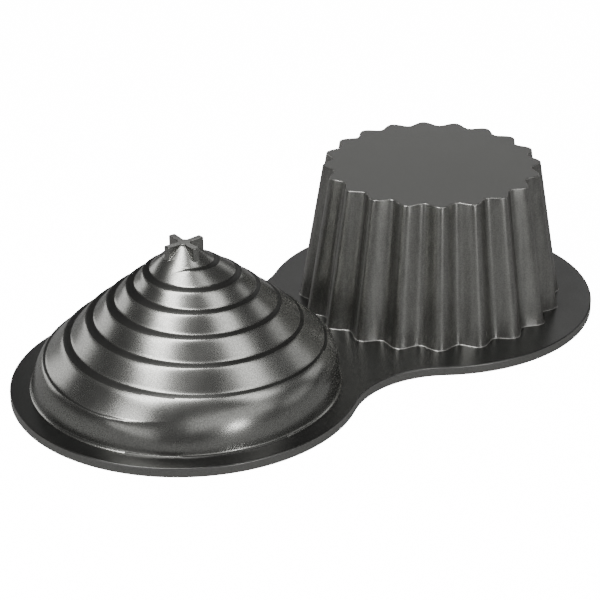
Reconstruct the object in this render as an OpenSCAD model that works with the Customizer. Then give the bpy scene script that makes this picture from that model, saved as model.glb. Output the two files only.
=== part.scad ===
// Two-cavity cast cake pan, lying mouths down: a swirl mould with a star tip beside a fluted cup mould.
// +Z is up and +X runs from the swirl to the cup. The origin is under the middle of the rim plate.

/* [Rim plate] */
// Radius of the rim plate round the swirl
swirl_rim_r = 104; // [98:0.5:120]
// Radius of the rim plate round the cup
cup_rim_r = 102.7; // [96:0.1:120]
// Distance between the centres of the two moulds
mould_spacing = 189.4; // [184:0.2:215]
// Radius of the hollow on each side of the waist
waist_r = 60; // [30:1:90]
// Thickness of the rim plate
rim_t = 6.1; // [4:0.1:10]

/* [Casting] */
// Wall thickness, measured level
wall_t = 3.1; // [2.5:0.1:4]
// How far the inner face of the swirl lies below the outer one
swirl_drop = 2.6; // [2:0.1:3.4]
// Thickness of the cup's floor
floor_t = 3.5; // [2.5:0.1:6]

/* [Swirl] */
// Radius of the swirl where it leaves the rim plate
swirl_foot_r = 91.1; // [86:0.1:93]
// Radius of the seat under the star
star_seat_r = 12.9; // [12.7:0.1:13.6]
// Height of the seat under the star
star_seat_z = 87.7; // [87.5:0.1:90]
// Number of turns of the groove
turns = 6.1; // [4.1:0.1:6.1]
// Mean width of the ledge above each coil's face
ledge_w = 4; // [1:0.1:4.5]
// How much narrower the ledge is on the side that the coils lean to, as a share of its mean width
ledge_bias = 0.35; // [0:0.05:0.5]
// How far the coils lean off the foot's centre
coil_lean = 4.2; // [0:0.1:4.5]
// Direction of the lean, seen from above
lean_angle = -37.9; // [-90:0.1:90]
// Direction in which the groove starts, seen from above
groove_start = -127.7; // [-180:0.1:180]

/* [Star tip] */
// Number of points on the star
star_points = 4; // [3:1:5]
// Radius to the points of the star
star_r = 12.6; // [11:0.1:12.6]
// Radius at the notches between the points
star_notch_r = 3.9; // [3.5:0.1:6]
// Height of the star's points
star_tip_z = 96.1; // [95.5:0.1:99]
// Height of the star's middle
star_mid_z = 95.8; // [94:0.1:96.4]
// Direction of the first point, seen from above
star_angle = 0; // [-90:1:90]

/* [Fluted cup] */
// Height of the cup above the ground
cup_h = 94.8; // [80:0.1:110]
// Mean radius of the cup's outside where it leaves the rim plate
cup_foot_r = 78.8; // [74:0.1:82]
// Height of the flutes' waves at the rim plate
flute_depth = 3.5; // [1:0.1:4]
// Size of the cup's top compared with its foot
cup_taper = 0.823; // [0.75:0.001:1]
// Number of flutes
flutes = 20; // [12:1:28]

/* [Hidden] */

$fn = 120;
coat = "#3a3b3c";
coat_light = "#4a4b4d";

overall_l = swirl_rim_r + mould_spacing + cup_rim_r;
swirl_x = swirl_rim_r - overall_l / 2;
cup_x = overall_l / 2 - cup_rim_r;

// Facets round one turn, up one coil, and along one flute
coil_facets = 60;
coil_rows = 6;
flute_facets = 12;

// The groove's first and last stretch, over which it fades out, in turns. The ledge has a share of its
// width after the first one, grows to all of it, and shrinks again to a share before the last one
fade_in = 0.1;
ledge_begun = 0.25;
ledge_growth = 0.75;
ledge_waning = 0.9;
ledge_left = 0.45;
fade_out = 0.14;

// Lean of the coils: it grows over the first coil and shrinks to the star's share towards the top
lean_full_z = 34;
lean_wane_z = 74;
star_lean_share = 0.24;

// Shape of a coil: how far its ledge falls outwards, and how tightly its shoulder turns
ledge_fall = 1.5;
shoulder_turn = 5;

// The first face stands nearly upright up to a bend. The bend's radius and tightness, the slope of
// the face above it, and where on the unbroken face the groove starts
bend_r = 90.2;
bend_turn = 2.5;
upper_slope = 1.1;
start_share = 0.31;

// How far the block between the rim discs runs on inside them, and how far cutting tools overshoot
waist_overlap = 0.1;
cut_over = 1;

// Where the first face's rows begin to shift towards those of the coil that starts there, in turns
row_shift_start = 0.6;

// Height over which the inner face sinks to its full drop, at the foot and below the star
foot_ramp = 10;
seat_ramp = 7;

function smooth(a, b, v) = let (s = min(1, max(0, (v - a) / (b - a)))) s * s * (3 - 2 * s);
function mix(a, b, s) = a + (b - a) * s;

// ---- Outline of the rim plate ----

// Centre of the upper waist hollow, which touches both rim circles
function waist_centre() =
    let (a = swirl_rim_r + waist_r, b = cup_rim_r + waist_r, c = mould_spacing,
         along = (a * a - b * b + c * c) / (2 * c))
    [swirl_x + along, sqrt(a * a - along * along)];

// Point on a rim circle that lies towards the waist hollow
function touch(centre_x, r) =
    let (w = waist_centre(), d = norm([w[0] - centre_x, w[1]]))
    [centre_x + (w[0] - centre_x) * r / d, w[1] * r / d];

// Both rim discs and the block between them, less the hollows of the waist
module rim_blank() {
    swirl_touch = touch(swirl_x, swirl_rim_r);
    cup_touch = touch(cup_x, cup_rim_r);
    a = mix(swirl_touch, cup_touch, -waist_overlap);
    b = mix(swirl_touch, cup_touch, 1 + waist_overlap);
    w = waist_centre();
    difference() {
        union() {
            translate([swirl_x, 0, 0]) cylinder(r = swirl_rim_r, h = rim_t);
            translate([cup_x, 0, 0]) cylinder(r = cup_rim_r, h = rim_t);
            linear_extrude(rim_t) polygon([a, b, [b[0], -b[1]], [a[0], -a[1]]]);
        }
        for (side = [-1, 1])
            translate([w[0], side * w[1], -cut_over]) cylinder(r = waist_r, h = rim_t + 2 * cut_over);
    }
}

// ---- Fluted outline ----

function flute_outline(mean_r, wave) =
    let (n = flutes * flute_facets)
    [for (i = [0 : n - 1]) let (a = 360 * i / n, r = mean_r + wave * cos(flutes * a))
        [r * cos(a), r * sin(a)]];

module rim_plate() {
    color(coat) difference() {
        rim_blank();
        translate([swirl_x, 0, -cut_over]) cylinder(r = swirl_foot_r - wall_t, h = rim_t + 2 * cut_over);
        translate([cup_x, 0, -cut_over]) linear_extrude(rim_t + 2 * cut_over)
            polygon(flute_outline(cup_foot_r - wall_t, flute_depth));
    }
}

// ---- Swirl ----
// The groove is a falling coil. Its place is given by u, the number of turns from its start.
// A point of the skin is [radius, height] in the half plane that its u lies in.

function groove_r(u) = 88.8 - 15.3 * u + 0.46 * u * u + 0.006 * u * u * u;
function groove_z(u) = 22.6 + 14.35 * u - 0.63 * u * u;
function groove(u) = [groove_r(u), groove_z(u)];
function groove_dir(u) = groove_start - 360 * u;

// Width of the ledge at u, as a share of its mean width
function ledge_share(u) = mix(ledge_begun * smooth(0, fade_in, u), 1, smooth(fade_in, ledge_growth, u))
    * mix(1, ledge_left, smooth(turns - ledge_waning, turns, u)) * (1 - smooth(turns - fade_out, turns, u))
    * (1 - ledge_bias * cos(groove_dir(u) - lean_angle));

// Outer edge of the ledge that lies against the groove at u
function shoulder(u) = groove(u) + [ledge_w, -ledge_fall] * ledge_share(u);

foot = [swirl_foot_r, rim_t];
seat = [star_seat_r, star_seat_z];

// Coil: a face from the groove at u up to the shoulder, and the ledge to the groove one turn later
function coil_arc(u, t) =
    let (low = (1 - t) * (1 - t), corner = 2 * shoulder_turn * t * (1 - t), high = t * t)
    (low * groove(u) + corner * shoulder(u + 1) + high * groove(u + 1)) / (low + corner + high);

// First face: from the foot, round the bend and the shoulder, to the groove at u
function foot_arc(u, t) =
    let (c = shoulder(u), bend = [bend_r, c[1] - max(0, bend_r - c[0]) * upper_slope],
         w = [(1 - t) * (1 - t) * (1 - t), 3 * bend_turn * t * (1 - t) * (1 - t),
              3 * shoulder_turn * t * t * (1 - t), t * t * t])
    (w[0] * foot + w[1] * bend + w[2] * c + w[3] * groove(u)) / (w[0] + w[1] + w[2] + w[3]);

// The coil between the groove at u and the groove one turn later
function coil_point(u, t) =
    let (start = foot_arc(u + 1, mix(start_share, 1, t)), end = mix(groove(u), seat, 0.5 * t))
    mix(mix(start, coil_arc(u, t), smooth(0, fade_in, u)), end, smooth(turns - fade_out, turns, u + 1));

// Place on the first face of a row of points, which has to meet the rows of the coil that starts there
function start_row(t) = t < 0.5 ? 2 * start_share * t : mix(start_share, 1, 2 * t - 1);
function foot_row(u, t) = mix(t, start_row(t), smooth(row_shift_start, 1, u));

// The first face, from the foot up to the groove at u
function foot_point(u, t) =
    mix(foot_arc(u + 1, start_share * t), foot_arc(u, foot_row(u, t)), smooth(0, fade_in, u));

// The cap, a plain cone from the groove at u up to the star's seat
function cap_point(u, t) =
    mix(mix(groove(u), seat, t), mix(groove(u - 1), seat, 0.5 + 0.5 * t), smooth(turns - fade_out, turns, u));

function inner_drop(z) =
    swirl_drop * min(1, (z - rim_t) / foot_ramp, (star_seat_z - z) / seat_ramp);

function lean_at(z) =
    coil_lean * smooth(rim_t, lean_full_z, z)
    * mix(1, star_lean_share, smooth(lean_wane_z, star_seat_z, z));

// A skin point in space, on the outer face or on the inner one
function place(u, point, inner) =
    let (r = point[0] - (inner ? wall_t : 0), z = point[1] - (inner ? inner_drop(point[1]) : 0),
         a = groove_dir(u), lean = lean_at(point[1]))
    [r * cos(a) + lean * cos(lean_angle), r * sin(a) + lean * sin(lean_angle), z];

// Last column that lies below another coil, and last column of the cap
last_coil = round((turns - 1) * coil_facets);
last_cap = round(turns * coil_facets);

// Points of one face: the first face, the coils and the cap column by column, then the seat's edge
function skin_points(inner) = concat(
    [for (i = [0 : coil_facets - 1], j = [0 : coil_rows - 1])
        let (u = i / coil_facets) place(u, foot_point(u, j / coil_rows), inner)],
    [for (i = [0 : last_cap], j = [0 : coil_rows - 1])
        let (u = i / coil_facets, t = j / coil_rows)
        place(u, i <= last_coil ? coil_point(u, t) : cap_point(u, t), inner)],
    [for (i = [last_coil + 1 : last_cap])
        place(i / coil_facets, seat, inner)]);

coil_first = coil_facets * coil_rows;
seat_first = coil_first + (last_cap + 1) * coil_rows;
skin_size = seat_first + coil_facets;

// Numbers of the points: j counts upwards, and the top row of a column is the next thing's bottom row
function coil_id(i, j) =
    j < coil_rows ? coil_first + i * coil_rows + j
    : i <= last_coil ? coil_first + (i + coil_facets) * coil_rows
    : seat_first + i - last_coil - 1;
function foot_id(i, j) = j < coil_rows ? i * coil_rows + j : coil_id(i, 0);

// Two columns twice as long, where the groove starts and where it ends
function start_id(k) = k < coil_rows ? foot_id(0, k) : coil_id(0, k - coil_rows);
function end_id(k) = k < coil_rows ? coil_id(last_coil, k) : coil_id(last_cap, k - coil_rows);

function quad(a, b, c, d) = [[a, b, c], [a, c, d]];

function skin_faces() = concat(
    [for (i = [0 : coil_facets - 2], j = [0 : coil_rows - 1])
        each quad(foot_id(i, j), foot_id(i + 1, j), foot_id(i + 1, j + 1), foot_id(i, j + 1))],
    [for (i = [0 : last_cap - 1], j = [0 : coil_rows - 1]) if (i != last_coil)
        each quad(coil_id(i, j), coil_id(i + 1, j), coil_id(i + 1, j + 1), coil_id(i, j + 1))],
    [for (j = [0 : coil_rows - 1]) let (a = foot_id(coil_facets - 1, j), b = foot_id(coil_facets - 1, j + 1))
        each [[a, start_id(2 * j), start_id(2 * j + 1)], [a, start_id(2 * j + 1), b],
              [b, start_id(2 * j + 1), start_id(2 * j + 2)]]],
    [for (j = [0 : coil_rows - 1]) let (a = coil_id(last_coil + 1, j), b = coil_id(last_coil + 1, j + 1))
        each [[a, end_id(2 * j + 1), end_id(2 * j)], [a, b, end_id(2 * j + 1)],
              [b, end_id(2 * j + 2), end_id(2 * j + 1)]]]);

// Rings that join the outer face to the inner one, under the foot and round the seat
function ring_faces() = concat(
    [for (i = [0 : coil_facets - 1])
        let (a = foot_id(i, 0), b = foot_id((i + 1) % coil_facets, 0))
        each quad(b, a, a + skin_size, b + skin_size)],
    [for (i = [0 : coil_facets - 1])
        let (a = seat_first + i, b = seat_first + (i + 1) % coil_facets)
        each quad(a, b, b + skin_size, a + skin_size)]);

module swirl_mould() {
    outer = skin_faces();
    inner = [for (f = outer) [f[0] + skin_size, f[2] + skin_size, f[1] + skin_size]];
    color(coat_light) translate([swirl_x, 0, 0])
        polyhedron(concat(skin_points(false), skin_points(true)), concat(outer, inner, ring_faces()));
}

// ---- Star tip ----
// A cone on the seat carries a star with upright flanks. Its skin is a stack of rings: the seat's
// edge, the foot and the rim of the star's flank, then rings that shrink to the middle. At the
// notches the cone reaches up to a little below the middle. The hollow below is a plain cone.

star_lean = lean_at(star_seat_z);
star_facets = 24;
star_rings = 4;
star_n = star_points * star_facets;
notch_drop = 0.8;
notch_z = star_mid_z - notch_drop;
hollow_r = star_seat_r - wall_t;
hollow_z = star_mid_z - wall_t;

// Radius of the star's outline: a full point is blunt, and its sides fall off steeply to the notches
point_share = 0.2;
side_fall = 4.5;
function star_edge(a) =
    let (pitch = 360 / star_points, turned = a - star_angle + 720,
         near_point = abs((turned % pitch) / pitch - 0.5) * 2)
    mix(star_notch_r, star_r, pow(min(1, near_point / (1 - point_share)), side_fall));

function star_top(r) = mix(star_mid_z, star_tip_z, pow(r / star_r, 2));
function cone_z(r) = mix(notch_z, star_seat_z, (r - star_notch_r) / (star_seat_r - star_notch_r));

// Point of ring k in direction a
function star_ring_point(k, a) =
    let (edge = star_edge(a), r = k == 0 ? star_seat_r : k == 1 ? edge : edge * (star_rings + 2 - k) / star_rings,
         z = k == 0 ? star_seat_z : k == 1 ? cone_z(edge) : star_top(r))
    [r * cos(a), r * sin(a), z];

module star_tip() {
    n = star_n;
    rings = star_rings + 2;
    hollow_first = rings * n + 1;
    points = concat(
        [for (k = [0 : rings - 1], i = [0 : n - 1]) star_ring_point(k, 360 * i / n)],
        [[0, 0, star_mid_z]],
        [for (i = [0 : n - 1]) [hollow_r * cos(360 * i / n), hollow_r * sin(360 * i / n), star_seat_z]],
        [[0, 0, hollow_z]]);
    faces = concat(
        [for (k = [0 : rings - 2], i = [0 : n - 1]) let (j = (i + 1) % n)
            each quad(k * n + j, k * n + i, (k + 1) * n + i, (k + 1) * n + j)],
        [for (i = [0 : n - 1]) [(rings - 1) * n + (i + 1) % n, (rings - 1) * n + i, rings * n]],
        [for (i = [0 : n - 1]) let (j = (i + 1) % n)
            each quad(i, j, hollow_first + j, hollow_first + i)],
        [for (i = [0 : n - 1]) [hollow_first + i, hollow_first + (i + 1) % n, hollow_first + n]]);
    color(coat_light)
        translate([swirl_x + star_lean * cos(lean_angle), star_lean * sin(lean_angle), 0])
        polyhedron(points, faces);
}

// ---- Fluted cup ----

wall_top = cup_h - floor_t;
end_over = 0.001;
top_scale = mix(1, cup_taper, (wall_top - rim_t) / (cup_h - rim_t));

module cup_wall() {
    color(coat_light) translate([cup_x, 0, rim_t]) difference() {
        linear_extrude(wall_top - rim_t, scale = top_scale)
            polygon(flute_outline(cup_foot_r, flute_depth));
        translate([0, 0, -end_over])
            linear_extrude(wall_top - rim_t + 2 * end_over, scale = top_scale)
            polygon(flute_outline(cup_foot_r - wall_t, flute_depth));
    }
}

module cup_floor() {
    color(coat) translate([cup_x, 0, wall_top]) linear_extrude(floor_t)
        polygon(flute_outline(cup_foot_r * top_scale, flute_depth * top_scale));
}

rim_plate();
swirl_mould();
star_tip();
cup_wall();
cup_floor();
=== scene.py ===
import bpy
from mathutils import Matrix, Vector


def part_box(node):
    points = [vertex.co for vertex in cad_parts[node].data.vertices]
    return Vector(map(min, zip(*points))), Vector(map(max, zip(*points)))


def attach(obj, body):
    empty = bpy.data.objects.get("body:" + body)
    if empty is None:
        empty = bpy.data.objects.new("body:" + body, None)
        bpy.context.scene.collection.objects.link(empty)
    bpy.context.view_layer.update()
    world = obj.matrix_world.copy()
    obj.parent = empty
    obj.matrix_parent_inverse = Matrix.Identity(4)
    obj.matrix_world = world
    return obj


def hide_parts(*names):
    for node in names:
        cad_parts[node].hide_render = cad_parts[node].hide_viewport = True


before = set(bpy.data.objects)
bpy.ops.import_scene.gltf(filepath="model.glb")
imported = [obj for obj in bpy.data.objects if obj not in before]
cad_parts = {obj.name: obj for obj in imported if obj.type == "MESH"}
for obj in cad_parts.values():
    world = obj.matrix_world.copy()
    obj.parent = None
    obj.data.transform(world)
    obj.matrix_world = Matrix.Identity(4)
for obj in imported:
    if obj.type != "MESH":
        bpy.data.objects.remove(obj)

"""A two-cavity cast cake pan, lying mouths down: a coiled swirl mould with a star tip beside a fluted
cup mould, on one figure-eight rim plate.

Each form is a class that holds its sizes and builds its own mesh. The swirl and the fluted cup follow
rules, so Geometry Nodes shape them from a bare ribbon and a bare meridian. Lengths are in metres.
"""

import logging
import math
from dataclasses import dataclass
from enum import Enum
from typing import Callable, Iterable, Sequence, Union

import bmesh
import bpy
from bpy.types import ID, Material, Mesh, Node, NodeSocket, NodeTree, Object
from mathutils import Euler, Quaternion, Vector

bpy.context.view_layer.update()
MM = 0.001
Number = Union["Wire", float, int]
Point2 = tuple[Number, Number]
Triple = tuple[float, float, float]
log = logging.getLogger("cake_pan")


# -------- node arithmetic


def _sign(operation: str) -> Callable[["Wire", Number], "Wire"]:
    """Makes the method behind one sign of arithmetic."""
    return lambda self, other: self.math(operation, other)


class Wire:
    """A number that flows through a node tree. Arithmetic on it adds Math nodes."""

    def __init__(self, tree: NodeTree, socket: NodeSocket) -> None:
        """Keeps the tree and the output socket that carries the number."""
        self.tree = tree
        self.socket = socket

    def math(self, operation: str, *others: Number) -> "Wire":
        """Adds one Math node.

        Args:
            operation: Blender's name of the operation.
            others: the further operands, as wires or plain numbers.

        Returns:
            The node's result.
        """
        node = self.tree.nodes.new("ShaderNodeMath")
        node.operation = operation
        feed(self.tree, node.inputs[0], self)
        for slot, other in zip(node.inputs[1:], others):
            feed(self.tree, slot, other)
        return Wire(self.tree, node.outputs[0])

    def __rsub__(self, other: Number) -> "Wire":
        """other - self."""
        return self.math("MULTIPLY", -1.0).math("ADD", other)

    __add__ = __radd__ = _sign("ADD")
    __sub__ = _sign("SUBTRACT")
    __mul__ = __rmul__ = _sign("MULTIPLY")
    __truediv__ = _sign("DIVIDE")
    __pow__ = _sign("POWER")


def feed(tree: NodeTree, slot: NodeSocket, value: Number) -> None:
    """Links a wire to an input socket, or sets the socket to a plain number."""
    if isinstance(value, Wire):
        tree.links.new(value.socket, slot)
    else:
        slot.default_value = value


def mix(a: Number, b: Number, share: Number) -> Number:
    """Blends from a, at share 0, to b, at share 1."""
    return a + (b - a) * share


def smooth(low: Number, high: Number, value: Wire) -> Wire:
    """Smooth step: 0 at low, 1 at high, level at both ends."""
    node = value.tree.nodes.new("ShaderNodeMapRange")
    node.interpolation_type = "SMOOTHSTEP"
    for name, number in (("Value", value), ("From Min", low), ("From Max", high)):
        feed(value.tree, node.inputs[name], number)
    return Wire(value.tree, node.outputs[0])


def either(test: Wire, yes: Number, no: Number) -> Number:
    """Picks yes where test is 1 and no where it is 0."""
    return mix(no, yes, test)


# -------- finishes


class Surface(Enum):
    """Kinds of coated surface on the pan. The ledge and rim coats are darker copies that carry painted shade.
    """

    MOULD = "mould"
    LEDGE = "ledge"
    WALL = "wall"
    RIM = "rim"
    EDGE = "edge"
    FLOOR = "floor"
    INSIDE = "inside"


# The coat's noise: how many flecks each kind has on a metre, and how far it shifts colour and roughness
MOTTLE_SCALE = 55.0
WAVE_SCALE = 9.0
STREAK_SCALE = 320.0
STREAK_SQUEEZE = 0.02
FLAKE_EDGES = (0.38, 0.66)
MOTTLE_TINT = 0.25
MOTTLE_ROUGH = 0.10
WAVE_ROUGH = 0.08
FLAKE_ROUGH = 0.06
MOTTLE_BUMP = 0.5


@dataclass(frozen=True)
class CoatFinish:
    """A baked dark coating with metallic flakes in it.

    Args:
        name: the material's name.
        dark: colour between the flakes.
        light: colour of the flakes.
        metallic: share of metal in the look.
        roughness: mean roughness.
        flake_size: width of a flake, in metres.
        flake_contrast: how far the flakes stand out, from 0 to 1.
        grain_height: height of the coating's grain, in metres.
        streaks: how far upright streaks show, from 0 to 1.
    """

    name: str
    dark: Triple
    light: Triple
    metallic: float
    roughness: float
    flake_size: float
    flake_contrast: float
    grain_height: float
    streaks: float = 0.0

    def material(self) -> Material:
        """Builds the node material, or returns it if it is built already."""
        if self.name in bpy.data.materials:
            return bpy.data.materials[self.name]
        made = bpy.data.materials.new(self.name)
        made.use_nodes = True
        tree = made.node_tree
        tree.nodes.clear()
        add, link = tree.nodes.new, tree.links.new
        place = add("ShaderNodeTexCoord").outputs["Object"]
        flakes = self._noise(tree, place, 1.0 / self.flake_size, 1.0, 0.5)
        mottle = self._noise(tree, place, MOTTLE_SCALE, 3.0, 0.55)
        flow = self._noise(tree, place, WAVE_SCALE, 2.0, 0.5)
        sparkle = smooth(*FLAKE_EDGES, flakes)
        tint = mix(0.5, sparkle, self.flake_contrast) + (mottle - 0.5) * MOTTLE_TINT
        if self.streaks > 0.0:
            drawn = add("ShaderNodeVectorMath")
            drawn.operation = "MULTIPLY"
            link(place, drawn.inputs[0])
            drawn.inputs[1].default_value = (1.0, 1.0, STREAK_SQUEEZE)
            streak = self._noise(tree, drawn.outputs[0], STREAK_SCALE, 2.0, 0.6)
            tint = tint + (streak - 0.5) * self.streaks
        shader = add("ShaderNodeBsdfPrincipled")
        ramp = add("ShaderNodeMix")
        ramp.data_type = "RGBA"
        feed(tree, ramp.inputs["Factor"], tint)
        ramp.inputs["A"].default_value = (*self.dark, 1.0)
        ramp.inputs["B"].default_value = (*self.light, 1.0)
        link(ramp.outputs["Result"], shader.inputs["Base Color"])
        rough = self.roughness + (mottle - 0.5) * MOTTLE_ROUGH + (flow - 0.5) * WAVE_ROUGH
        rough = rough - sparkle * FLAKE_ROUGH * self.flake_contrast
        feed(tree, shader.inputs["Roughness"], rough)
        shader.inputs["Metallic"].default_value = self.metallic
        bump = add("ShaderNodeBump")
        bump.inputs["Strength"].default_value = 1.0
        bump.inputs["Distance"].default_value = self.grain_height
        feed(tree, bump.inputs["Height"], flakes + mottle * MOTTLE_BUMP)
        link(bump.outputs["Normal"], shader.inputs["Normal"])
        out = add("ShaderNodeOutputMaterial")
        link(shader.outputs["BSDF"], out.inputs["Surface"])
        return made

    @staticmethod
    def _noise(tree: NodeTree, place: NodeSocket, scale: float, detail: float,
               roughness: float) -> Wire:
        """Adds one noise texture on object coordinates and returns its value."""
        node = tree.nodes.new("ShaderNodeTexNoise")
        node.inputs["Scale"].default_value = scale
        node.inputs["Detail"].default_value = detail
        node.inputs["Roughness"].default_value = roughness
        tree.links.new(place, node.inputs["Vector"])
        return Wire(tree, node.outputs["Fac"])


FINISHES: dict[Surface, CoatFinish] = {
    Surface.MOULD: CoatFinish("speckled_mould_coat", (0.20, 0.20, 0.190), (0.38, 0.38, 0.361), 0.95, 0.285,
                              0.75 * MM, 0.45, 0.0035 * MM),
    Surface.WALL: CoatFinish("streaked_wall_coat", (0.19, 0.19, 0.181), (0.39, 0.39, 0.371), 0.95, 0.34,
                             0.65 * MM, 0.35, 0.003 * MM, 0.9),
    # The ledges' coat is darker than the faces': painted shade in the grooves under each coil.
    Surface.LEDGE: CoatFinish("ledge_painted_shade_coat", (0.040, 0.040, 0.038), (0.070, 0.070, 0.067), 0.9, 0.42,
                              0.6 * MM, 0.3, 0.003 * MM),
    # The rim coat is a darker copy of the edge coat, for the plate's level faces: painted shade.
    Surface.RIM: CoatFinish("rim_painted_shade_coat", (0.056, 0.056, 0.054), (0.105, 0.105, 0.102), 0.9, 0.33,
                            0.6 * MM, 0.4, 0.004 * MM),
    Surface.EDGE: CoatFinish("satin_edge_coat", (0.20, 0.20, 0.19), (0.32, 0.32, 0.31), 0.9, 0.36,
                             0.6 * MM, 0.5, 0.006 * MM),
    Surface.FLOOR: CoatFinish("satin_floor_coat", (0.15, 0.15, 0.145), (0.24, 0.24, 0.23), 0.9, 0.46,
                              0.6 * MM, 0.4, 0.004 * MM),
    Surface.INSIDE: CoatFinish("smooth_baking_coat", (0.14, 0.14, 0.14), (0.20, 0.20, 0.20), 0.85, 0.30,
                               0.6 * MM, 0.4, 0.004 * MM),
}


# -------- mesh helpers


def place_object(name: str, data: ID) -> Object:
    """Makes an object around a mesh, a light or a camera and links it to the scene."""
    made = bpy.data.objects.new(name, data)
    bpy.context.scene.collection.objects.link(made)
    return made


def new_object(name: str, points: Sequence[Sequence[float]], faces: Sequence[Sequence[int]],
               edges: Sequence[Sequence[int]] = ()) -> Object:
    """Makes a mesh object in the scene.

    Args:
        name: the object's and the mesh's name.
        points: the vertices, in metres.
        faces: the faces, as vertex numbers.
        edges: loose edges, as vertex numbers.

    Returns:
        The linked object.
    """
    mesh = bpy.data.meshes.new(name)
    mesh.from_pydata(points, edges, faces)
    mesh.update()
    return place_object(name, mesh)


def add_attribute(mesh: Mesh, name: str, values: Sequence[float]) -> None:
    """Stores one number for each vertex under a name that a node tree can read."""
    attribute = mesh.attributes.new(name, "FLOAT", "POINT")
    attribute.data.foreach_set("value", list(values))


def bake_nodes(made: Object) -> None:
    """Replaces an object's mesh with what its modifiers make of it, and removes them."""
    depsgraph = bpy.context.evaluated_depsgraph_get()
    depsgraph.update()
    result = bpy.data.meshes.new_from_object(made.evaluated_get(depsgraph), preserve_all_data_layers=True,
                                             depsgraph=depsgraph)
    bare = made.data
    name = bare.name
    made.modifiers.clear()
    made.data = result
    bpy.data.meshes.remove(bare)
    result.name = name


def soften(made: Object, crease_deg: float) -> None:
    """Shades a piece smooth, with sharp edges where two faces meet at more than crease_deg."""
    made.data.polygons.foreach_set("use_smooth", [True] * len(made.data.polygons))
    made.data.set_sharp_from_angle(angle=math.radians(crease_deg))


def drop_attributes(mesh: Mesh, names: Iterable[str]) -> None:
    """Removes the working attributes that the finished mesh doesn't need."""
    for name in names:
        if name in mesh.attributes:
            mesh.attributes.remove(mesh.attributes[name])


class ShapeTree:
    """A Geometry Nodes tree under construction, with named inputs for its sizes."""

    def __init__(self, name: str) -> None:
        """Starts a tree that takes a geometry and gives one back."""
        self.tree = bpy.data.node_groups.new(name, "GeometryNodeTree")
        self.tree.interface.new_socket("Geometry", in_out="INPUT", socket_type="NodeSocketGeometry")
        self.tree.interface.new_socket("Geometry", in_out="OUTPUT", socket_type="NodeSocketGeometry")
        self.start = self.tree.nodes.new("NodeGroupInput")
        self.values: dict[str, float] = {}

    def size(self, name: str, value: float) -> Wire:
        """Adds a named input with its value on this object and returns its wire."""
        self.tree.interface.new_socket(name, in_out="INPUT", socket_type="NodeSocketFloat")
        self.values[name] = value
        return Wire(self.tree, self.start.outputs[name])

    def attribute(self, name: str) -> Wire:
        """Reads a number that is stored on each point."""
        node = self.tree.nodes.new("GeometryNodeInputNamedAttribute")
        node.data_type = "FLOAT"
        node.inputs["Name"].default_value = name
        return Wire(self.tree, node.outputs["Attribute"])

    def node(self, kind: str, **settings: object) -> Node:
        """Adds a node of a kind and sets its properties."""
        made = self.tree.nodes.new(kind)
        for key, value in settings.items():
            setattr(made, key, value)
        return made

    def levelness(self) -> Wire:
        """Upward share of each face's normal, 1 on a level face."""
        return self.split(self.node("GeometryNodeInputNormal").outputs["Normal"])[2]

    def split(self, vector: NodeSocket) -> list[Wire]:
        """Parts a vector into its three numbers."""
        made = self.node("ShaderNodeSeparateXYZ")
        self.tree.links.new(vector, made.inputs[0])
        return [Wire(self.tree, part) for part in made.outputs]

    def move(self, geometry: NodeSocket, place: NodeSocket) -> NodeSocket:
        """Moves each point of a geometry to its place."""
        made = self.node("GeometryNodeSetPosition")
        self.tree.links.new(geometry, made.inputs["Geometry"])
        self.tree.links.new(place, made.inputs["Position"])
        return made.outputs[0]

    def vector(self, x: Number, y: Number, z: Number) -> NodeSocket:
        """Joins three numbers to a vector."""
        made = self.node("ShaderNodeCombineXYZ")
        for slot, value in zip(made.inputs, (x, y, z)):
            feed(self.tree, slot, value)
        return made.outputs[0]

    def finish(self, geometry: NodeSocket,
               coats: Sequence[tuple[Material, object]]) -> None:
        """Closes the tree: realizes instances, sets the materials and links the output.

        Args:
            geometry: the shaped geometry.
            coats: each material with the selection it covers, or None for every face.
        """
        realize = self.node("GeometryNodeRealizeInstances")
        self.tree.links.new(geometry, realize.inputs[0])
        last = realize.outputs[0]
        for material, where in coats:
            dress = self.node("GeometryNodeSetMaterial")
            dress.inputs["Material"].default_value = material
            if where is not None:
                self.tree.links.new(where, dress.inputs["Selection"])
            self.tree.links.new(last, dress.inputs["Geometry"])
            last = dress.outputs[0]
        out = self.node("NodeGroupOutput")
        self.tree.links.new(last, out.inputs[0])

    def apply(self, made: Object) -> None:
        """Puts the tree on an object, sets its inputs by identifier and bakes the result."""
        modifier = made.modifiers.new(self.tree.name, "NODES")
        modifier.node_group = self.tree
        for item in self.tree.interface.items_tree:
            if item.in_out == "INPUT" and item.name in self.values:
                modifier[item.identifier] = self.values[item.name]
        bake_nodes(made)


def quad(a: int, b: int, c: int, d: int) -> tuple[int, int, int, int]:
    """A face from four vertex numbers, anticlockwise as seen from outside."""
    return (a, b, c, d)


# -------- rim plate


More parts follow.
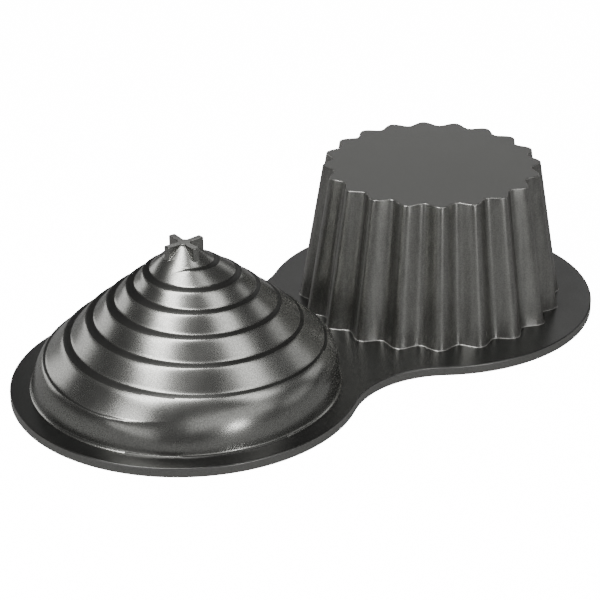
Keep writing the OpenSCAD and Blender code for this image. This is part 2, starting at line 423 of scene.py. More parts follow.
@dataclass
class RimPlate:
    """The figure-eight plate that joins the two moulds and carries their mouths."""

    swirl_rim_r: float = 104.0 * MM
    cup_rim_r: float = 102.7 * MM
    spacing: float = 189.4 * MM
    waist_r: float = 60.0 * MM
    thickness: float = 6.1 * MM
    edge_round: float = 0.9 * MM
    lip_round: float = 1.2 * MM
    step_deg: float = 1.0
    crease_deg: float = 40.0
    # Faces whose upward share reaches this take the rim coat's painted shade.
    level_share: float = 0.5

    @property
    def swirl_x(self) -> float:
        """Where the swirl's axis crosses the X axis."""
        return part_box("rim_plate")[0][0] + self.swirl_rim_r

    @property
    def cup_x(self) -> float:
        """Where the cup's axis crosses the X axis."""
        return self.swirl_x + self.spacing

    def outline(self, inset: float) -> list[tuple[float, float]]:
        """Points of the outer edge, moved inwards, anticlockwise from above."""
        left = self.swirl_rim_r + self.waist_r
        right = self.cup_rim_r + self.waist_r
        along = (left * left - right * right + self.spacing ** 2) / (2 * self.spacing)
        waist = Vector((self.swirl_x + along, math.sqrt(left * left - along * along)))
        swirl_turn = math.degrees(math.atan2(waist.y, along))
        cup_turn = math.degrees(math.atan2(waist.y, along - self.spacing))
        rings = ((self.swirl_x, 0.0, self.swirl_rim_r - inset, swirl_turn, 360 - swirl_turn),
                 (waist.x, -waist.y, self.waist_r + inset, 180 - swirl_turn, 180 - cup_turn),
                 (self.cup_x, 0.0, self.cup_rim_r - inset, -cup_turn, cup_turn),
                 (waist.x, waist.y, self.waist_r + inset, cup_turn - 180, swirl_turn - 180))
        points: list[tuple[float, float]] = []
        for x, y, r, begin, end in rings:
            steps = round(abs(end - begin) / self.step_deg)
            for step in range(steps):
                turn = math.radians(begin + (end - begin) * step / steps)
                points.append((x + r * math.cos(turn), y + r * math.sin(turn)))
        return points

    def edge_profile(self, radius: float, steps: int = 6) -> list[tuple[float, float]]:
        """Inset and height of each ring down a rounded edge, from the top face to the underside."""
        turns = [math.pi / 2 * step / steps for step in range(steps + 1)]
        top = [(radius * (1 - math.sin(t)), self.thickness - radius * (1 - math.cos(t))) for t in turns]
        bottom = [(inset, self.thickness - height) for inset, height in reversed(top)]
        return top + bottom

    def build(self, cup: "FlutedCup", swirl: "Swirl") -> Object:
        """Builds the plate with its rounded edge and its two mouths.

        Args:
            cup: gives the outline of the fluted mouth.
            swirl: gives the radius of the round mouth.

        Returns:
            The finished piece.
        """
        points: list[Triple] = []
        faces: list[tuple[int, ...]] = []
        top_loops: list[list[int]] = []
        low_loops: list[list[int]] = []
        loops: list[tuple[Callable[[float], list[tuple[float, float]]], float]] = [
            (self.outline, self.edge_round),
            (lambda inset: list(reversed(swirl.mouth(inset, self.swirl_x))), self.lip_round),
            (lambda inset: list(reversed(cup.mouth(inset, self.cup_x))), self.lip_round)]
        for shape, radius in loops:
            rings = []
            for inset, height in self.edge_profile(radius):
                first = len(points)
                ring = [(x, y, height) for x, y in shape(inset)]
                points.extend(ring)
                rings.append(list(range(first, first + len(ring))))
            for upper, lower in zip(rings, rings[1:]):
                count = len(upper)
                for i in range(count):
                    j = (i + 1) % count
                    faces.append(quad(upper[i], lower[i], lower[j], upper[j]))
            top_loops.append(rings[0])
            low_loops.append(rings[-1])
        made = new_object("rim_plate_cast", points, faces)
        self._cap(made, top_loops, 1.0)
        self._cap(made, low_loops, -1.0)
        soften(made, self.crease_deg)
        weigh = made.modifiers.new("flat_faces_stay_flat", "WEIGHTED_NORMAL")
        weigh.keep_sharp = True
        weigh.weight = 100
        bake_nodes(made)
        # Level faces take the darker rim coat and upright faces the edge coat: painted shade on the level
        # faces.
        for surface in (Surface.RIM, Surface.EDGE):
            made.data.materials.append(FINISHES[surface].material())
        for face in made.data.polygons:
            face.material_index = 1 if abs(face.normal.z) < self.level_share else 0
        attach(made, "root")
        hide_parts("rim_plate")
        return made

    @staticmethod
    def _cap(made: Object, loops: Sequence[Sequence[int]], side: float) -> None:
        """Fills the flat face between the outer loop and the mouths, facing up or down."""
        work = bmesh.new()
        work.from_mesh(made.data)
        work.verts.ensure_lookup_table()
        edges = []
        for loop in loops:
            for a, b in zip(loop, list(loop[1:]) + [loop[0]]):
                edges.append(work.edges.get((work.verts[a], work.verts[b])))
        new = bmesh.ops.triangle_fill(work, use_beauty=True, use_dissolve=False, edges=edges)["geom"]
        for face in (item for item in new if isinstance(item, bmesh.types.BMFace)):
            face.normal_update()
            if face.normal.z * side < 0:
                face.normal_flip()
        work.to_mesh(made.data)
        work.free()


# -------- swirl


# The ribbon's zones, and what the inner mark exceeds on faces that lie wholly on the inner skin
FOOT_ZONE, COIL_ZONE, CAP_ZONE = 0.0, 1.0, 2.0
WHOLLY_INNER = 0.99


@dataclass
class Swirl:
    """The coiled shell. Its skin is a ribbon that climbs about six turns and meets itself at the groove.

    The groove's radius and height are polynomials of the turns from its start. The ledge on it grows at
    the start, wanes towards the end, and is wider on the side away from the lean.
    """

    foot_r: float = 91.1 * MM
    foot_z: float = 6.1 * MM
    seat_r: float = 12.9 * MM
    seat_z: float = 87.7 * MM
    wall: float = 3.1 * MM
    drop: float = 2.6 * MM
    foot_ramp: float = 10.0 * MM
    seat_ramp: float = 7.0 * MM
    turns: float = 6.1
    groove_r: tuple[float, ...] = (88.8 * MM, -15.3 * MM, 0.46 * MM, 0.006 * MM)
    groove_z: tuple[float, ...] = (22.6 * MM, 14.35 * MM, -0.63 * MM)
    start_deg: float = -127.7
    start_share: float = 0.31
    fade_in: float = 0.1
    fade_out: float = 0.14
    ledge: float = 4.0 * MM
    ledge_fall: float = 1.5 * MM
    ledge_bias: float = 0.35
    ledge_begun: float = 0.25
    ledge_growth: float = 0.75
    ledge_waning: float = 0.9
    ledge_left: float = 0.45
    # Faces more level than this take the darker ledge coat, painted shade in the grooves.
    ledge_level: float = 0.845
    shoulder_turn: float = 5.0
    bend_r: float = 90.2 * MM
    bend_turn: float = 2.5
    upper_slope: float = 1.1
    lean: float = 4.2 * MM
    lean_deg: float = -37.9
    lean_full_z: float = 34.0 * MM
    lean_wane_z: float = 74.0 * MM
    star_lean_share: float = 0.24
    groove_round: float = 0.8 * MM
    groove_lift: float = 0.25
    foot_round: float = 1.1 * MM
    facets: int = 220
    rows: int = 24
    row_gather: float = 0.82
    row_shift: float = 0.4
    crease_deg: float = 50.0

    def mouth(self, inset: float, centre_x: float) -> list[tuple[float, float]]:
        """Points of the mouth's edge, moved outwards, anticlockwise from above."""
        r = self.foot_r - self.wall + inset
        turns = [2 * math.pi * i / self.facets for i in range(self.facets)]
        return [(centre_x + r * math.cos(t), r * math.sin(t)) for t in turns]

    # -- the ribbon: faces between numbered points, each with its turn and its rise

    def _rise(self, j: int) -> float:
        """Rise of row j, with rows gathered at both ends, where the fillets are."""
        share = j / self.rows
        return share - self.row_gather * math.sin(2 * math.pi * share) / (2 * math.pi)

    def _near_joint(self, j: int, split: float, nearness: float) -> float:
        """Rise of row j, shifted towards the rows of the twice-as-long column it meets at a joint.

        Args:
            j: the row.
            split: rise at which the groove starts or ends on the long column.
            nearness: 1 at the joint, 0 or less far away from it.

        Returns:
            The rise.
        """
        near = min(1.0, max(0.0, nearness))
        share = near * near * (3 - 2 * near)
        k = 2 * j
        met = split * self._rise(k) if k < self.rows else split + (1 - split) * self._rise(k - self.rows)
        return self._rise(j) + (met - self._rise(j)) * share

    def ribbon(self) -> Object:
        """Builds the bare ribbon, outer skin and inner skin, with turn, rise, zone and side on each point."""
        n, m = self.facets, self.rows
        last_coil, last_cap = round((self.turns - 1) * n), round(self.turns * n)
        coil_first = n * m
        seat_first = coil_first + (last_cap + 1) * m
        size = seat_first + n
        reach = self.row_shift
        spots = [(i / n, self._near_joint(j, self.start_share, (i / n - (1 - reach)) / reach), FOOT_ZONE)
                 for i in range(n) for j in range(m)]
        spots += [(i / n, self._rise(j), COIL_ZONE) for i in range(last_coil + 1) for j in range(m)]
        spots += [(i / n, self._near_joint(j, 0.5, 1 - (i - last_coil - 1) / (reach * n)), CAP_ZONE)
                  for i in range(last_coil + 1, last_cap + 1) for j in range(m)]
        spots += [(i / n, 1.0, CAP_ZONE) for i in range(last_coil + 1, last_cap + 1)]

        def coil(i: int, j: int) -> int:
            """Number of a coil or cap point. The top row is the bottom row one turn later."""
            if j < m:
                return coil_first + i * m + j
            return coil_first + (i + n) * m if i <= last_coil else seat_first + i - last_coil - 1

        def foot(i: int, j: int) -> int:
            """Number of a point of the first face."""
            return i * m + j if j < m else coil(i, 0)

        begin = [foot(0, k) for k in range(m)] + [coil(0, k) for k in range(m + 1)]
        end = [coil(last_coil, k) for k in range(m)] + [coil(last_cap, k) for k in range(m + 1)]
        skin: list[tuple[int, ...]] = []
        for i in range(n - 1):
            skin += [quad(foot(i, j), foot(i, j + 1), foot(i + 1, j + 1), foot(i + 1, j)) for j in range(m)]
        for i in (i for i in range(last_cap) if i != last_coil):
            skin += [quad(coil(i, j), coil(i, j + 1), coil(i + 1, j + 1), coil(i + 1, j)) for j in range(m)]
        for j in range(m):
            a, b = foot(n - 1, j), foot(n - 1, j + 1)
            skin += [(a, begin[2 * j + 1], begin[2 * j]), (a, b, begin[2 * j + 1]),
                     (b, begin[2 * j + 2], begin[2 * j + 1])]
            a, b = coil(last_coil + 1, j), coil(last_coil + 1, j + 1)
            skin += [(a, end[2 * j], end[2 * j + 1]), (a, end[2 * j + 1], b),
                     (b, end[2 * j + 1], end[2 * j + 2])]
        faces = list(skin)
        faces += [tuple(p + size for p in reversed(face)) for face in skin]
        for i in range(n):
            a, b = foot(i, 0), foot((i + 1) % n, 0)
            faces.append(quad(a, b, b + size, a + size))
            a, b = seat_first + i, seat_first + (i + 1) % n
            faces.append(quad(b, a, a + size, b + size))
        made = new_object("swirl_mould_cast", [(turn, rise, 0.0) for turn, rise, _ in spots] * 2, faces)
        add_attribute(made.data, "turn", [turn for turn, _, _ in spots] * 2)
        add_attribute(made.data, "rise", [rise for _, rise, _ in spots] * 2)
        add_attribute(made.data, "zone", [zone for _, _, zone in spots] * 2)
        add_attribute(made.data, "inner", [0.0] * size + [1.0] * size)
        return made

    # -- the rule that places the ribbon's points, written for wires

    @staticmethod
    def _bezier(share: Wire, points: Sequence[Point2], turns: Sequence[float]) -> Point2:
        """Point on a Bezier curve whose corner points pull with their own weights.

        Args:
            share: place along the curve, from 0 to 1.
            points: the two ends, with one or two corner points between them.
            turns: how tightly the curve turns at each corner point.

        Returns:
            Radius and height of the point.
        """
        rest, count = 1.0 - share, len(points) - 1
        weights: list[Wire] = []
        for k in range(count + 1):
            pull = math.comb(count, k) * (1.0 if k in (0, count) else turns[k - 1])
            weights.append((share ** float(k)) * (rest ** float(count - k)) * pull)
        total = sum(weights[1:], weights[0])
        return tuple(sum((w * p[axis] for w, p in zip(weights[1:], points[1:])), weights[0] * points[0][axis])
                     / total for axis in (0, 1))

    @staticmethod
    def _foot_fillet(point: Point2, foot: Point2, radius: Wire) -> Point2:
        """Sweeps the first face outwards to the plate over a round fillet."""
        left = (1.0 - (point[1] - foot[1]) / radius).math("MAXIMUM", 0.0)
        return (point[0] + (1.0 - (1.0 - left * left).math("MAXIMUM", 0.0).math("SQRT")) * radius, point[1])

    def _groove_fillet(self, point: Point2, corner: Point2, shoulder_above: Point2, radius: Wire) -> Point2:
        """Rounds the bottom of a groove, where a face stands on the ledge below it.

        Args:
            point: radius and height of a point near the groove or far from it.
            corner: bottom of the groove.
            shoulder_above: where the face that stands on it leads.
            radius: reach of the fillet along both surfaces.

        Returns:
            The point, lifted out of the corner if it is within reach.
        """
        up, side = shoulder_above[1] - corner[1], corner[0] - shoulder_above[0]
        long = (up * up + side * side).math("SQRT").math("MAXIMUM", 0.01 * MM)
        gap = tuple(point[axis] - corner[axis] for axis in (0, 1))
        away = (gap[0] * gap[0] + gap[1] * gap[1]).math("SQRT")
        left = (1.0 - away / radius).math("MAXIMUM", 0.0)
        lift = left * left * radius * self.groove_lift
        fall = self.ledge_fall / self.ledge
        return (point[0] + lift * (1.0 - side / long), point[1] + lift * (up / long - fall))

    def tree(self) -> ShapeTree:
        """Writes the rule of the coils as a Geometry Nodes tree."""
        shape = ShapeTree("coil_rule")
        u, rise = shape.attribute("turn"), shape.attribute("rise")
        zone, inner = shape.attribute("zone"), shape.attribute("inner")
        foot = (shape.size("Foot radius", self.foot_r), shape.size("Foot height", self.foot_z))
        seat = (shape.size("Seat radius", self.seat_r), shape.size("Seat height", self.seat_z))
        groove_round = shape.size("Groove fillet", self.groove_round)
        foot_round = shape.size("Foot fillet", self.foot_round)
        wall, drop = shape.size("Wall", self.wall), shape.size("Inner drop", self.drop)
        ledge = shape.size("Ledge width", self.ledge)
        lean, lean_turn = shape.size("Lean", self.lean), math.radians(self.lean_deg)

        def groove(turn: Wire) -> Point2:
            """Radius and height of the groove after a number of turns."""
            r, z = self.groove_r, self.groove_z
            return (r[0] + r[1] * turn + r[2] * turn * turn + r[3] * turn * turn * turn,
                    z[0] + z[1] * turn + z[2] * turn * turn)

        def shoulder(turn: Wire) -> Point2:
            """Outer edge of the ledge that lies against the groove."""
            low = groove(turn)
            waned = smooth(self.turns - self.ledge_waning, self.turns, turn)
            begun = smooth(0.0, self.fade_in, turn) * self.ledge_begun
            grown = mix(begun, 1.0, smooth(self.fade_in, self.ledge_growth, turn))
            grown = grown * mix(1.0, self.ledge_left, waned)
            grown = grown * (1.0 - smooth(self.turns - self.fade_out, self.turns, turn))
            sideways = (math.radians(self.start_deg - self.lean_deg) - turn * (2 * math.pi)).math("COSINE")
            grown = grown * (1.0 - sideways * self.ledge_bias)
            return (low[0] + ledge * grown, low[1] - self.ledge_fall * grown)

        def foot_arc(turn: Wire, share: Wire) -> Point2:
            """First face: from the foot, round the bend and the shoulder, to the groove."""
            corner = shoulder(turn)
            inwards = (self.bend_r - corner[0]).math("MAXIMUM", 0.0)
            bend = (self.bend_r, corner[1] - inwards * self.upper_slope)
            curve = self._bezier(share, (foot, bend, corner, groove(turn)),
                                 (self.bend_turn, self.shoulder_turn))
            return self._foot_fillet(curve, foot, foot_round)

        def coil_arc(turn: Wire, share: Wire) -> Point2:
            """Coil: a face up to the shoulder, and the ledge to the groove one turn later."""
            return self._bezier(share, (groove(turn), shoulder(turn + 1.0), groove(turn + 1.0)),
                                (self.shoulder_turn,))

        def blend(a: Point2, b: Point2, share: Number) -> Point2:
            """Mixes two points."""
            return (mix(a[0], b[0], share), mix(a[1], b[1], share))

        def rounded(point: Point2, turn: Wire, strength: Wire) -> Point2:
            """Rounds a point that lies near the groove of a turn, by a strength from 0 to 1."""
            return self._groove_fillet(point, groove(turn), shoulder(turn + 1.0),
                                       groove_round * (strength + 0.001))

        fading_in = smooth(0.0, self.fade_in, u)
        fading_out = smooth(self.turns - self.fade_out, self.turns, u + 1.0)
        top_fading = smooth(self.turns - self.fade_out, self.turns, u)
        foot_face = blend(foot_arc(u + 1.0, rise * self.start_share), foot_arc(u, rise), fading_in)
        foot_face = rounded(foot_face, u, fading_in)
        begun = foot_arc(u + 1.0, mix(self.start_share, 1.0, rise))
        coil_face = blend(blend(begun, coil_arc(u, rise), fading_in),
                          blend(groove(u), seat, rise * 0.5), fading_out)
        coil_face = rounded(rounded(coil_face, u, fading_in), u + 1.0, 1.0 - fading_out)
        cap_face = blend(blend(groove(u), seat, rise),
                         blend(groove(u - 1.0), seat, 0.5 + rise * 0.5), top_fading)
        cap_face = rounded(cap_face, u, 1.0 - top_fading)
        is_foot = zone.math("LESS_THAN", (FOOT_ZONE + COIL_ZONE) / 2)
        is_cap = zone.math("GREATER_THAN", (COIL_ZONE + CAP_ZONE) / 2)
        r, z = (either(is_cap, cap_face[k], either(is_foot, foot_face[k], coil_face[k])) for k in (0, 1))

        from_foot, from_seat = (z - foot[1]) / self.foot_ramp, (seat[1] - z) / self.seat_ramp
        sink = from_foot.math("MINIMUM", from_seat).math("MINIMUM", 1.0)
        waned = smooth(self.lean_wane_z, seat[1], z)
        shift = lean * smooth(foot[1], self.lean_full_z, z) * mix(1.0, self.star_lean_share, waned)
        turned = math.radians(self.start_deg) - u * (2 * math.pi)
        radius = r - wall * inner
        axis_x = RimPlate().swirl_x
        place = shape.vector(axis_x + radius * turned.math("COSINE") + shift * math.cos(lean_turn),
                             radius * turned.math("SINE") + shift * math.sin(lean_turn),
                             z - sink * drop * inner)
        shape.finish(shape.move(shape.start.outputs[0], place), [
            (FINISHES[Surface.MOULD].material(), None),
            # Level faces, the ledges, take the darker coat: painted shade in the grooves under each coil.
            (FINISHES[Surface.LEDGE].material(),
             shape.levelness().math("GREATER_THAN", self.ledge_level).socket),
            (FINISHES[Surface.INSIDE].material(), inner.math("GREATER_THAN", WHOLLY_INNER).socket)])
        return shape

    def build(self) -> Object:
        """Builds the shell and puts it in the place of its CAD node."""
        made = self.ribbon()
        self.tree().apply(made)
        drop_attributes(made.data, ("turn", "rise", "zone", "inner"))
        soften(made, self.crease_deg)
        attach(made, "root")
        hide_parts("swirl_mould")
        return made


# -------- star tip


@dataclass
class StarTip:
    """The four-pointed star on top of the swirl, on a low cone, hollow below."""

    points: int = 4
    point_r: float = 12.6 * MM
    notch_r: float = 3.9 * MM
    tip_z: float = 96.1 * MM
    middle_z: float = 95.8 * MM
    notch_drop: float = 0.8 * MM
    point_share: float = 0.2
    side_fall: float = 4.5
    facets: int = 96
    edge_round: float = 0.55 * MM
    base_round: float = 0.7 * MM
    base_reach: float = 0.9
    hollow_shares: tuple[float, ...] = (0.001, 0.5, 1.0)
    cone_steps: int = 8
    base_steps: int = 4
    edge_steps: int = 5
    top_steps: int = 12
    centre_r: float = 0.01 * MM
    crease_deg: float = 35.0

    def edge(self, turn: float) -> float:
        """Radius of the star's outline in a direction, in radians."""
        pitch = 2 * math.pi / self.points
        near = abs((turn % pitch) / pitch - 0.5) * 2
        share = min(1.0, near / (1 - self.point_share))
        return self.notch_r + (self.point_r - self.notch_r) * share ** self.side_fall

    def top(self, r: float) -> float:
        """Height of the star's hollow top at a radius."""
        return self.middle_z + (self.tip_z - self.middle_z) * (r / self.point_r) ** 2

    def build(self, swirl: Swirl) -> Object:
        """Builds the star on the swirl's seat."""
        lean = swirl.lean * swirl.star_lean_share
        cx = RimPlate().swirl_x + lean * math.cos(math.radians(swirl.lean_deg))
        cy = lean * math.sin(math.radians(swirl.lean_deg))
        notch_z = self.middle_z - self.notch_drop

        def cone(r: float) -> float:
            """Height of the cone that the flanks stand on, at a radius."""
            return notch_z + (swirl.seat_z - notch_z) * (r - self.notch_r) / (swirl.seat_r - self.notch_r)

        n = self.points * self.facets
        rings: list[list[Triple]] = []

        def ring(shape: Callable[[float], tuple[float, float]]) -> None:
            """Adds one ring from radius and height in each direction."""
            turns = [2 * math.pi * i / n for i in range(n)]
            rings.append([(cx + shape(t)[0] * math.cos(t), cy + shape(t)[0] * math.sin(t), shape(t)[1])
                          for t in turns])

        hollow_r = swirl.seat_r - swirl.wall
        hollow_z = self.middle_z - swirl.wall
        for share in self.hollow_shares:
            ring(lambda t, s=share: (hollow_r * s, hollow_z + (swirl.seat_z - hollow_z) * s))

        def base(t: float) -> float:
            """Reach of the fillet at the foot of the flank, in a direction."""
            return min(self.base_round, self.base_reach * (swirl.seat_r - self.edge(t)))

        def cone_point(t: float, share: float) -> tuple[float, float]:
            """Point of the cone between the seat and the flank's fillet."""
            r = swirl.seat_r + (self.edge(t) + base(t) - swirl.seat_r) * share
            return r, cone(r)

        def base_point(t: float, share: float) -> tuple[float, float]:
            """Point of the fillet between the cone and the flank."""
            reach, foot = base(t), self.edge(t)
            rest = (1 - share) ** 2
            z = cone(foot) + (cone(foot + reach) - cone(foot)) * rest + reach * share * share
            return (foot + reach * rest, z)

        for step in range(self.cone_steps + 1):
            ring(lambda t, s=step / self.cone_steps: cone_point(t, s))
        for step in range(1, self.base_steps + 1):
            ring(lambda t, s=step / self.base_steps: base_point(t, s))
        for step in range(self.edge_steps + 1):
            angle = math.pi / 2 * step / self.edge_steps
            ring(lambda t, a=angle: (
                self.edge(t) - self.edge_round * (1 - math.cos(a)),
                self.top(self.edge(t)) - self.edge_round * (1 - math.sin(a))))
        for step in range(1, self.top_steps):
            ring(lambda t, s=1 - step / self.top_steps: ((self.edge(t) - self.edge_round) * s,
                                                         self.top((self.edge(t) - self.edge_round) * s)))
        ring(lambda t: (self.centre_r, self.middle_z))
        points = [p for one in rings for p in one]
        faces: list[tuple[int, ...]] = []
        for k in range(len(rings) - 1):
            for i in range(n):
                j = (i + 1) % n
                faces.append(quad(k * n + i, k * n + j, (k + 1) * n + j, (k + 1) * n + i))
        faces.append(tuple(reversed(range(n))))
        faces.append(tuple(range((len(rings) - 1) * n, len(rings) * n)))
        made = new_object("star_tip_cast", points, faces)
        soften(made, self.crease_deg)
        made.data.materials.append(FINISHES[Surface.MOULD].material())
        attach(made, "root")
        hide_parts("star_tip")
        return made


# -------- fluted cup


@dataclass
class FlutedCup:
    """The cup mould: a tapered wall whose outline is a wave, and a flat floor."""

    foot_r: float = 78.8 * MM
    foot_z: float = 6.1 * MM
    height: float = 94.8 * MM
    wave: float = 3.5 * MM
    taper: float = 0.823
    flutes: int = 20
    wall: float = 3.1 * MM
    floor: float = 3.5 * MM
    facets: int = 720
    rim_round: float = 0.7 * MM
    foot_round: float = 0.6 * MM
    round_steps: int = 6
    wall_steps: int = 12
    floor_shares: tuple[float, ...] = (0.0, 0.25, 0.5, 0.75, 0.9, 1.0)
    weld: float = 0.001 * MM
    crease_deg: float = 50.0

    def scale(self, z: float) -> float:
        """Size of the outline at a height, compared with the foot."""
        return 1 + (self.taper - 1) * (z - self.foot_z) / (self.height - self.foot_z)

    def mouth(self, inset: float, centre_x: float) -> list[tuple[float, float]]:
        """Points of the fluted mouth's edge, moved outwards, anticlockwise from above."""
        points = []
        for i in range(self.facets):
            turn = 2 * math.pi * i / self.facets
            r = self.foot_r - self.wall + inset + self.wave * math.cos(self.flutes * turn)
            points.append((centre_x + r * math.cos(turn), r * math.sin(turn)))
        return points

    def _row(self, z: float, foot_r: float, extra: float = 0.0) -> Triple:
        """Radius, height and wave of a ring on a wall that starts from foot_r, moved outwards by extra."""
        return foot_r * self.scale(z) + extra, z, self.wave * self.scale(z)

    def wall_meridian(self) -> list[Triple]:
        """Each ring of the wall, from the outer foot over the rim to the inner foot."""
        turns = [math.pi / 2 * step / self.round_steps for step in range(self.round_steps + 1)]
        low, high = self.foot_z + self.foot_round, self.height - self.rim_round
        rows = [self._row(self.foot_z + self.foot_round * (1 - math.cos(a)), self.foot_r,
                          self.foot_round * (1 - math.sin(a))) for a in turns[:-1]]
        rows += [self._row(low + (high - low) * step / self.wall_steps, self.foot_r)
                 for step in range(self.wall_steps + 1)]
        rows += [self._row(high + self.rim_round * math.sin(a), self.foot_r,
                           -self.rim_round * (1 - math.cos(a))) for a in turns[1:]]
        inner_top = self.height - self.floor
        rows.append((rows[-1][0], inner_top, rows[-1][2]))
        rows += [self._row(inner_top + (self.foot_z - inner_top) * step / self.wall_steps,
                           self.foot_r - self.wall) for step in range(self.wall_steps + 1)]
        return rows

    def floor_meridian(self) -> list[Triple]:
        """Each ring of the floor, from its middle over its edge back to its middle."""
        r, _, wave = self._row(self.height, self.foot_r, -self.rim_round)
        top = [(r * s, self.height, wave * s) for s in self.floor_shares]
        low = [(r * s, self.height - self.floor, wave * s) for s in reversed(self.floor_shares)]
        return top + low

    def tree(self, name: str, count: int, closed: bool, surface: Surface) -> ShapeTree:
        """Writes the rule that turns a meridian round the axis and waves it.

        Args:
            name: the tree's name.
            count: how many points the meridian has.
            closed: True if the meridian's last point joins its first.
            surface: which coat covers the piece.

        Returns:
            The tree, ready to apply to the meridian.
        """
        shape = ShapeTree(name)
        link = shape.tree.links.new
        flutes = shape.size("Flutes", float(self.flutes))
        centre = shape.size("Axis", RimPlate().cup_x)
        rows = count + 1 if closed else count
        grid = shape.node("GeometryNodeMeshGrid")
        grid.inputs["Vertices X"].default_value = self.facets + 1
        grid.inputs["Vertices Y"].default_value = rows
        index = Wire(shape.tree, shape.node("GeometryNodeInputIndex").outputs[0])
        column = (index / float(rows)).math("FLOOR")
        row = (index - column * float(rows)).math("MODULO", float(count))

        def sample(kind: str, value: NodeSocket) -> NodeSocket:
            """Reads a value from the meridian's point of this row."""
            reader = shape.node("GeometryNodeSampleIndex", data_type=kind, domain="POINT")
            link(shape.start.outputs[0], reader.inputs["Geometry"])
            link(value, reader.inputs["Value"])
            link(row.socket, reader.inputs["Index"])
            return reader.outputs["Value"]

        position = shape.node("GeometryNodeInputPosition").outputs[0]
        r, _, z = shape.split(sample("FLOAT_VECTOR", position))
        wave = Wire(shape.tree, sample("FLOAT", shape.attribute("wave").socket))
        turn = column * (2 * math.pi / self.facets)
        radius = r + wave * (turn * flutes).math("COSINE")
        place = shape.vector(centre + radius * turn.math("COSINE"), radius * turn.math("SINE"), z)
        close = shape.node("GeometryNodeMergeByDistance")
        close.inputs["Distance"].default_value = self.weld
        link(shape.move(grid.outputs["Mesh"], place), close.inputs["Geometry"])
        shape.finish(close.outputs[0], [(FINISHES[surface].material(), None)])
        return shape

    def _turned(self, name: str, rows: list[Triple], closed: bool,
                surface: Surface) -> Object:
        """Makes a piece from its meridian."""
        made = new_object(name, [(r, 0.0, z) for r, z, _ in rows], [],
                          [(i, i + 1) for i in range(len(rows) - 1)])
        add_attribute(made.data, "wave", [wave for _, _, wave in rows])
        self.tree(name + "_rule", len(rows), closed, surface).apply(made)
        drop_attributes(made.data, ("wave",))
        return made

    def build_wall(self) -> Object:
        """Builds the fluted wall with its round rim and its fillet on the plate."""
        made = self._turned("cup_wall_cast", self.wall_meridian(), True, Surface.WALL)
        soften(made, self.crease_deg)
        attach(made, "root")
        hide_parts("cup_wall")
        return made

    def build_floor(self) -> Object:
        """Builds the flat floor inside the wall's rim."""
        made = self._turned("cup_floor_cast", self.floor_meridian(), False, Surface.FLOOR)
        soften(made, self.crease_deg)
        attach(made, "root")
        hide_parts("cup_floor")
        return made


# -------- studio


@dataclass(frozen=True)
class SoftBox:
    """One soft light: where it hangs, in metres from the pan, how large it is and how strong."""

    name: str
    azimuth_deg: float
    elevation_deg: float
    distance: float
    width: float
    height: float
    power: float


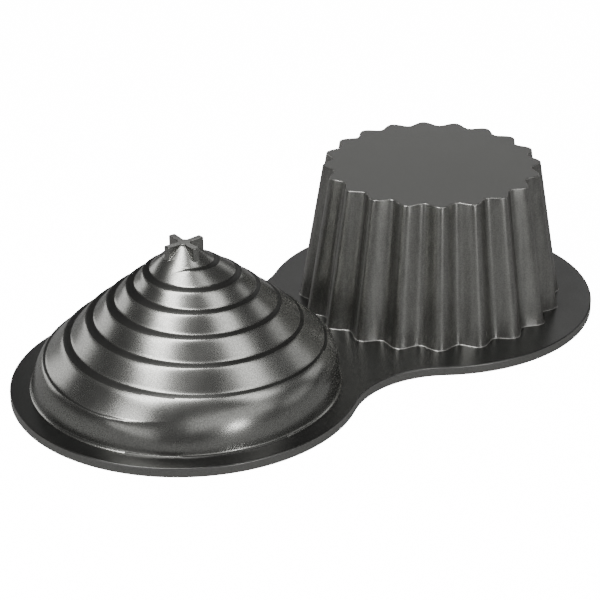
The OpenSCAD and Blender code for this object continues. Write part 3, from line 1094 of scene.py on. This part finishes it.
@dataclass
class Studio:
    """A pale floor, soft lights and the camera."""

    azimuth_deg: float = 37.73
    elevation_deg: float = 26.48
    roll_deg: float = -0.30
    distance: float = 1479.8 * MM
    target: Triple = (30.7 * MM, 50.7 * MM, 0.0)
    lens: float = 139.1
    sensor: float = 36.0
    floor_half: float = 6.0
    floor_tone: float = 0.25
    floor_seen_tone: float = 0.9
    floor_roughness: float = 0.9
    floor_glow: float = 15.0
    room_glow: float = 0.048
    backdrop_glow: float = 16.0
    boxes: tuple[SoftBox, ...] = (
        SoftBox("left_softbox", -49.0, 66.0, 1.3, 0.42, 1.05, 16.8),
        SoftBox("right_softbox", 63.0, 55.0, 1.3, 0.42, 0.74, 3.5),
        SoftBox("front_fill", 30.0, 27.0, 1.4, 1.6, 0.5, 2.6),
        SoftBox("side_softbox", -124.0, 14.0, 1.4, 0.8, 0.4, 2.1),
        SoftBox("far_side_softbox", 118.0, 22.0, 1.4, 0.6, 0.5, 1.0),
        SoftBox("back_softbox", 173.0, 26.0, 1.0, 0.80, 0.3, 0.66),
        SoftBox("low_spot", 31.0, 11.0, 1.3, 0.14, 0.12, 1.7),
        SoftBox("low_left_softbox", -36.0, 12.0, 1.3, 0.7, 0.35, 0.95),
        SoftBox("low_right_softbox", 84.0, 12.0, 1.3, 0.6, 0.3, 0.4),
    )

    def build(self) -> None:
        """Sets up the floor, the lights, the world and the camera."""
        self._floor()
        self._world()
        for box in self.boxes:
            self._light(box)
        self._camera()

    def _floor(self) -> None:
        """A wide pale floor under the pan. It glows towards the camera only."""
        half = self.floor_half
        corners = [(-half, -half, 0), (half, -half, 0), (half, half, 0), (-half, half, 0)]
        floor = new_object("studio_floor", corners, [(0, 1, 2, 3)])
        paint = bpy.data.materials.new("floor_paint")
        paint.use_nodes = True
        tree = paint.node_tree
        shader = tree.nodes["Principled BSDF"]
        seen = Wire(tree, tree.nodes.new("ShaderNodeLightPath").outputs["Is Camera Ray"])
        tone = tree.nodes.new("ShaderNodeCombineColor")
        for slot in tone.inputs:
            feed(tree, slot, mix(self.floor_tone, self.floor_seen_tone, seen))
        tree.links.new(tone.outputs[0], shader.inputs["Base Color"])
        shader.inputs["Roughness"].default_value = self.floor_roughness
        shader.inputs["Emission Color"].default_value = (1.0, 1.0, 1.0, 1.0)
        feed(tree, shader.inputs["Emission Strength"], seen * self.floor_glow)
        floor.data.materials.append(paint)

    def _world(self) -> None:
        """A dim room that the camera sees as a white backdrop."""
        world = bpy.data.worlds.new("studio_air")
        world.use_nodes = True
        tree = world.node_tree
        path = tree.nodes.new("ShaderNodeLightPath")
        glow = mix(self.room_glow, self.backdrop_glow, Wire(tree, path.outputs["Is Camera Ray"]))
        feed(tree, tree.nodes["Background"].inputs["Strength"], glow)
        tree.nodes["Background"].inputs["Color"].default_value = (1.0, 1.0, 1.0, 1.0)
        bpy.context.scene.world = world

    def _light(self, box: SoftBox) -> None:
        """Hangs one soft light, aimed at the pan. Azimuth 0 is straight behind the camera's back."""
        turn = math.radians(-90.0 - self.azimuth_deg + box.azimuth_deg)
        rise = math.radians(box.elevation_deg)
        away = Vector((math.cos(turn) * math.cos(rise), math.sin(turn) * math.cos(rise), math.sin(rise)))
        data = bpy.data.lights.new(box.name, "AREA")
        data.shape = "RECTANGLE"
        data.size = box.width
        data.size_y = box.height
        data.energy = box.power
        light = place_object(box.name, data)
        light.location = away * box.distance
        light.rotation_euler = away.to_track_quat("Z", "Y").to_euler()

    def _camera(self) -> None:
        """Places the camera by its angle, distance and target."""
        data = bpy.data.cameras.new("camera")
        data.lens = self.lens
        data.sensor_width = self.sensor
        data.clip_end = 100.0
        camera = place_object("camera", data)
        aim = Euler((math.radians(90.0 - self.elevation_deg), 0.0, math.radians(-self.azimuth_deg)))
        turned = aim.to_quaternion() @ Quaternion((0.0, 0.0, 1.0), math.radians(self.roll_deg))
        camera.rotation_euler = turned.to_euler()
        camera.location = Vector(self.target) + turned @ Vector((0.0, 0.0, self.distance))
        bpy.context.scene.camera = camera


# -------- the whole pan


def main() -> None:
    """Builds every piece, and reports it."""
    logging.basicConfig(level=logging.INFO, format="%(name)s: %(message)s")
    swirl, cup = Swirl(), FlutedCup()
    pieces = [RimPlate().build(cup, swirl), swirl.build(), StarTip().build(swirl), cup.build_wall(),
              cup.build_floor()]
    for piece in pieces:
        piece.data.calc_loop_triangles()
        log.info("%s: %d triangles", piece.name, len(piece.data.loop_triangles))
    Studio().build()


if __name__ == "__main__":
    main()
